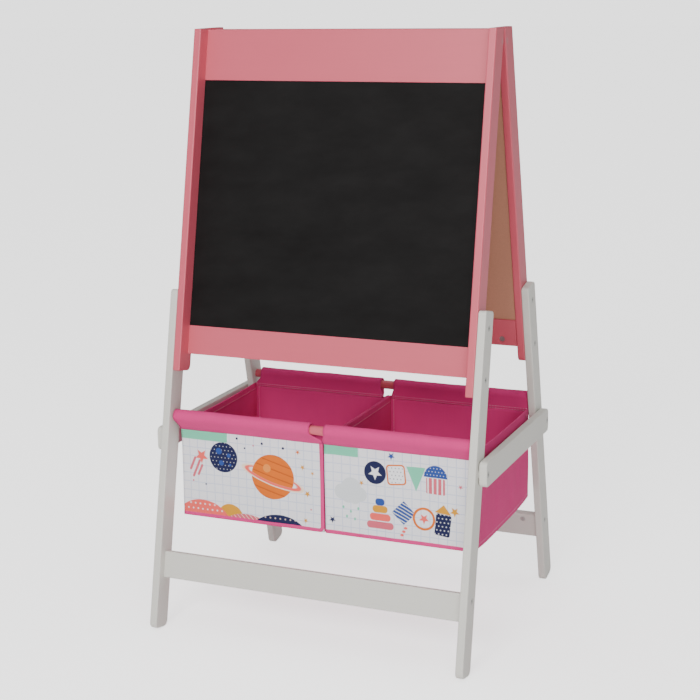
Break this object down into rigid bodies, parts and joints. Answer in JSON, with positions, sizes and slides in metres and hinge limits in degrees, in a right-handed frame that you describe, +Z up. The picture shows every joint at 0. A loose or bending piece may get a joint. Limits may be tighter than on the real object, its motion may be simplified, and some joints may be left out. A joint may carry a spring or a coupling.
{
  "type": "children's easel",
  "caption": "Folding two-sided A-frame children's easel with a chalkboard, a drawing board and fabric storage bins hung on dowels.",
  "frame": {"origin": "centre of the footprint, on the floor", "axes": "+Z up, +X to the right seen from the chalkboard side, -Y towards whoever stands at the chalkboard"},
  "size_m": [0.577, 0.4834, 0.98],
  "materials": {
    "pink_lacquer": "satin lacquer",
    "grey_lacquer": "satin lacquer",
    "chalkboard": "matte chalk paint on fibreboard",
    "drawing_board": "gloss white face, bare fibreboard back",
    "bin_cloth": "woven polyester",
    "bin_base_cloth": "woven polyester over board",
    "zinc_steel": "zinc plated",
    "hinge_steel": "zinc plated",
    "nylon": "natural nylon",
    "cap_plastic": "moulded",
    "pin_beech": "raw"
  },
  "bodies": {
    "front_frame": {"front_barrel_nuts": "zinc_steel", "front_bolt_caps": "cap_plastic", "front_bottom_rail": "pink_lacquer", "front_crossbar": "grey_lacquer", "front_crossbar_bolts": "zinc_steel", "front_dowel": "pink_lacquer", "front_hinge_screws": "zinc_steel", "front_left_leg": "grey_lacquer", "front_left_stile": "pink_lacquer", "front_leg_bolts": "zinc_steel", "front_leg_inserts": "zinc_steel", "front_panel": "chalkboard", "front_rail_bolts": "zinc_steel", "front_right_leg": "grey_lacquer", "front_right_stile": "pink_lacquer", "front_side_rail_inserts": "zinc_steel", "front_spacers": "nylon", "front_top_rail": "pink_lacquer", "front_wood_pins": "pin_beech", "hinge_front_leaves": "hinge_steel", "hinge_pins": "hinge_steel", "side_rail_pivot_bolts": "zinc_steel", "left_bin_front_panel": "bin_cloth", "left_bin_side_walls": "bin_cloth", "left_bin_base": "bin_base_cloth", "right_bin_front_panel": "bin_cloth", "right_bin_side_walls": "bin_cloth", "right_bin_base": "bin_base_cloth"},
    "rear_frame": {"rear_barrel_nuts": "zinc_steel", "rear_bolt_caps": "cap_plastic", "rear_bottom_rail": "pink_lacquer", "rear_crossbar": "grey_lacquer", "rear_crossbar_bolts": "zinc_steel", "rear_dowel": "pink_lacquer", "rear_hinge_screws": "zinc_steel", "rear_left_leg": "grey_lacquer", "rear_left_stile": "pink_lacquer", "rear_leg_bolts": "zinc_steel", "rear_leg_inserts": "zinc_steel", "rear_panel": "drawing_board", "rear_rail_bolts": "zinc_steel", "rear_right_leg": "grey_lacquer", "rear_right_stile": "pink_lacquer", "rear_side_rail_inserts": "zinc_steel", "rear_spacers": "nylon", "rear_top_rail": "pink_lacquer", "rear_wood_pins": "pin_beech", "hinge_rear_leaves": "hinge_steel", "left_bin_rear_sleeve": "bin_cloth", "left_bin_rear_wall": "bin_cloth", "right_bin_rear_sleeve": "bin_cloth", "right_bin_rear_wall": "bin_cloth"},
    "left_side_rail": {"left_side_rail": "grey_lacquer", "left_rail_rear_screw": "zinc_steel"},
    "right_side_rail": {"right_side_rail": "grey_lacquer", "right_rail_rear_screw": "zinc_steel"}
  },
  "joints": [
    {"name": "fold", "type": "hinge", "parent": "front_frame", "child": "rear_frame", "pos_m": [0, 0, 0.97134], "axis": [-1, 0, 0], "range_deg": [0, 23.6], "deforming": ["left_bin_side_walls", "left_bin_base", "left_bin_rear_wall", "right_bin_side_walls", "right_bin_base", "right_bin_rear_wall"]},
    {"name": "left_rail_swing", "type": "hinge", "parent": "front_frame", "child": "left_side_rail", "pos_m": [-0.282, -0.16064, 0.3095], "axis": [1, 0, 0], "range_deg": [0, 78.2]},
    {"name": "right_rail_swing", "type": "hinge", "parent": "front_frame", "child": "right_side_rail", "pos_m": [0.282, -0.16064, 0.3095], "axis": [1, 0, 0], "range_deg": [0, 78.2]}
  ]
}
